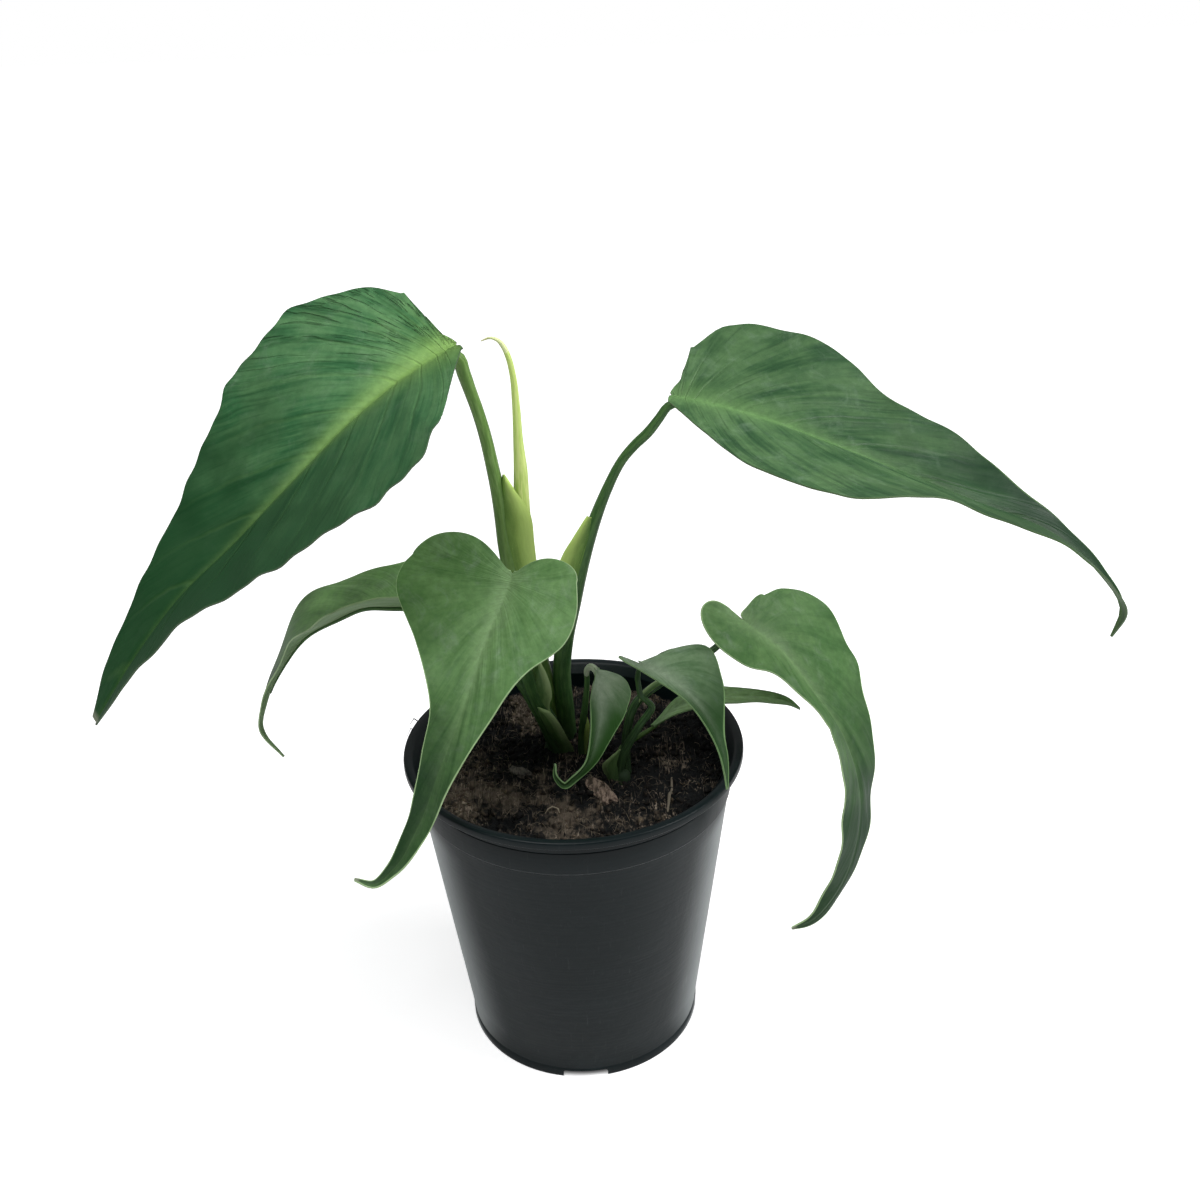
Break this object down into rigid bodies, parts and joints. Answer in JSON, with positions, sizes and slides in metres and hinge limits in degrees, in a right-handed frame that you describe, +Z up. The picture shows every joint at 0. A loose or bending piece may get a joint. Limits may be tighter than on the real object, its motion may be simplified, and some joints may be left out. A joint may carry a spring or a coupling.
{
  "type": "potted monstera",
  "caption": "Young foliage plant with long arrow-shaped leaves on thin arching stalks, growing in potting mix in a round tapered black nursery pot with drain notches in its foot.",
  "frame": {"origin": "centre of the pot's base, on the surface that the pot stands on", "axes": "+Z is up, out of the pot; -Y is the front, so +X is to the right as the plant is seen from the front, and the two largest leaves spread along X"},
  "size_m": [0.3486, 0.1359, 0.2965],
  "materials": {
    "pot": "satin black moulded plastic with soft grey sheen",
    "potting_mix": "damp peat and coir potting mix, rough and fibrous",
    "leaf": "fresh semi-gloss leaf, mid green with a paler midrib and fine veins",
    "new_leaf": "tender yellow-green rolled leaf, satin",
    "stalk": "smooth satin green stalk with paler sheath edges",
    "bark": "dry bark and twig, rough"
  },
  "bodies": {
    "root": {"pot": "pot", "soil": "potting_mix", "leaf_1": "leaf", "leaf_2": "leaf", "leaf_3": "leaf", "leaf_4": "leaf", "leaf_5": "leaf", "leaf_6": "leaf", "leaf_7": "leaf", "leaf_8": "leaf", "new_leaf": "new_leaf", "stem_main": "stalk", "stem_second": "stalk", "petiole_1": "stalk", "petiole_2": "stalk", "petiole_3": "stalk", "petiole_4": "stalk", "petiole_5": "stalk", "petiole_6": "stalk", "petiole_7": "stalk", "petiole_8": "stalk", "bark_chip_1": "bark", "bark_chip_2": "bark", "twig": "bark"}
  },
  "joints": []
}
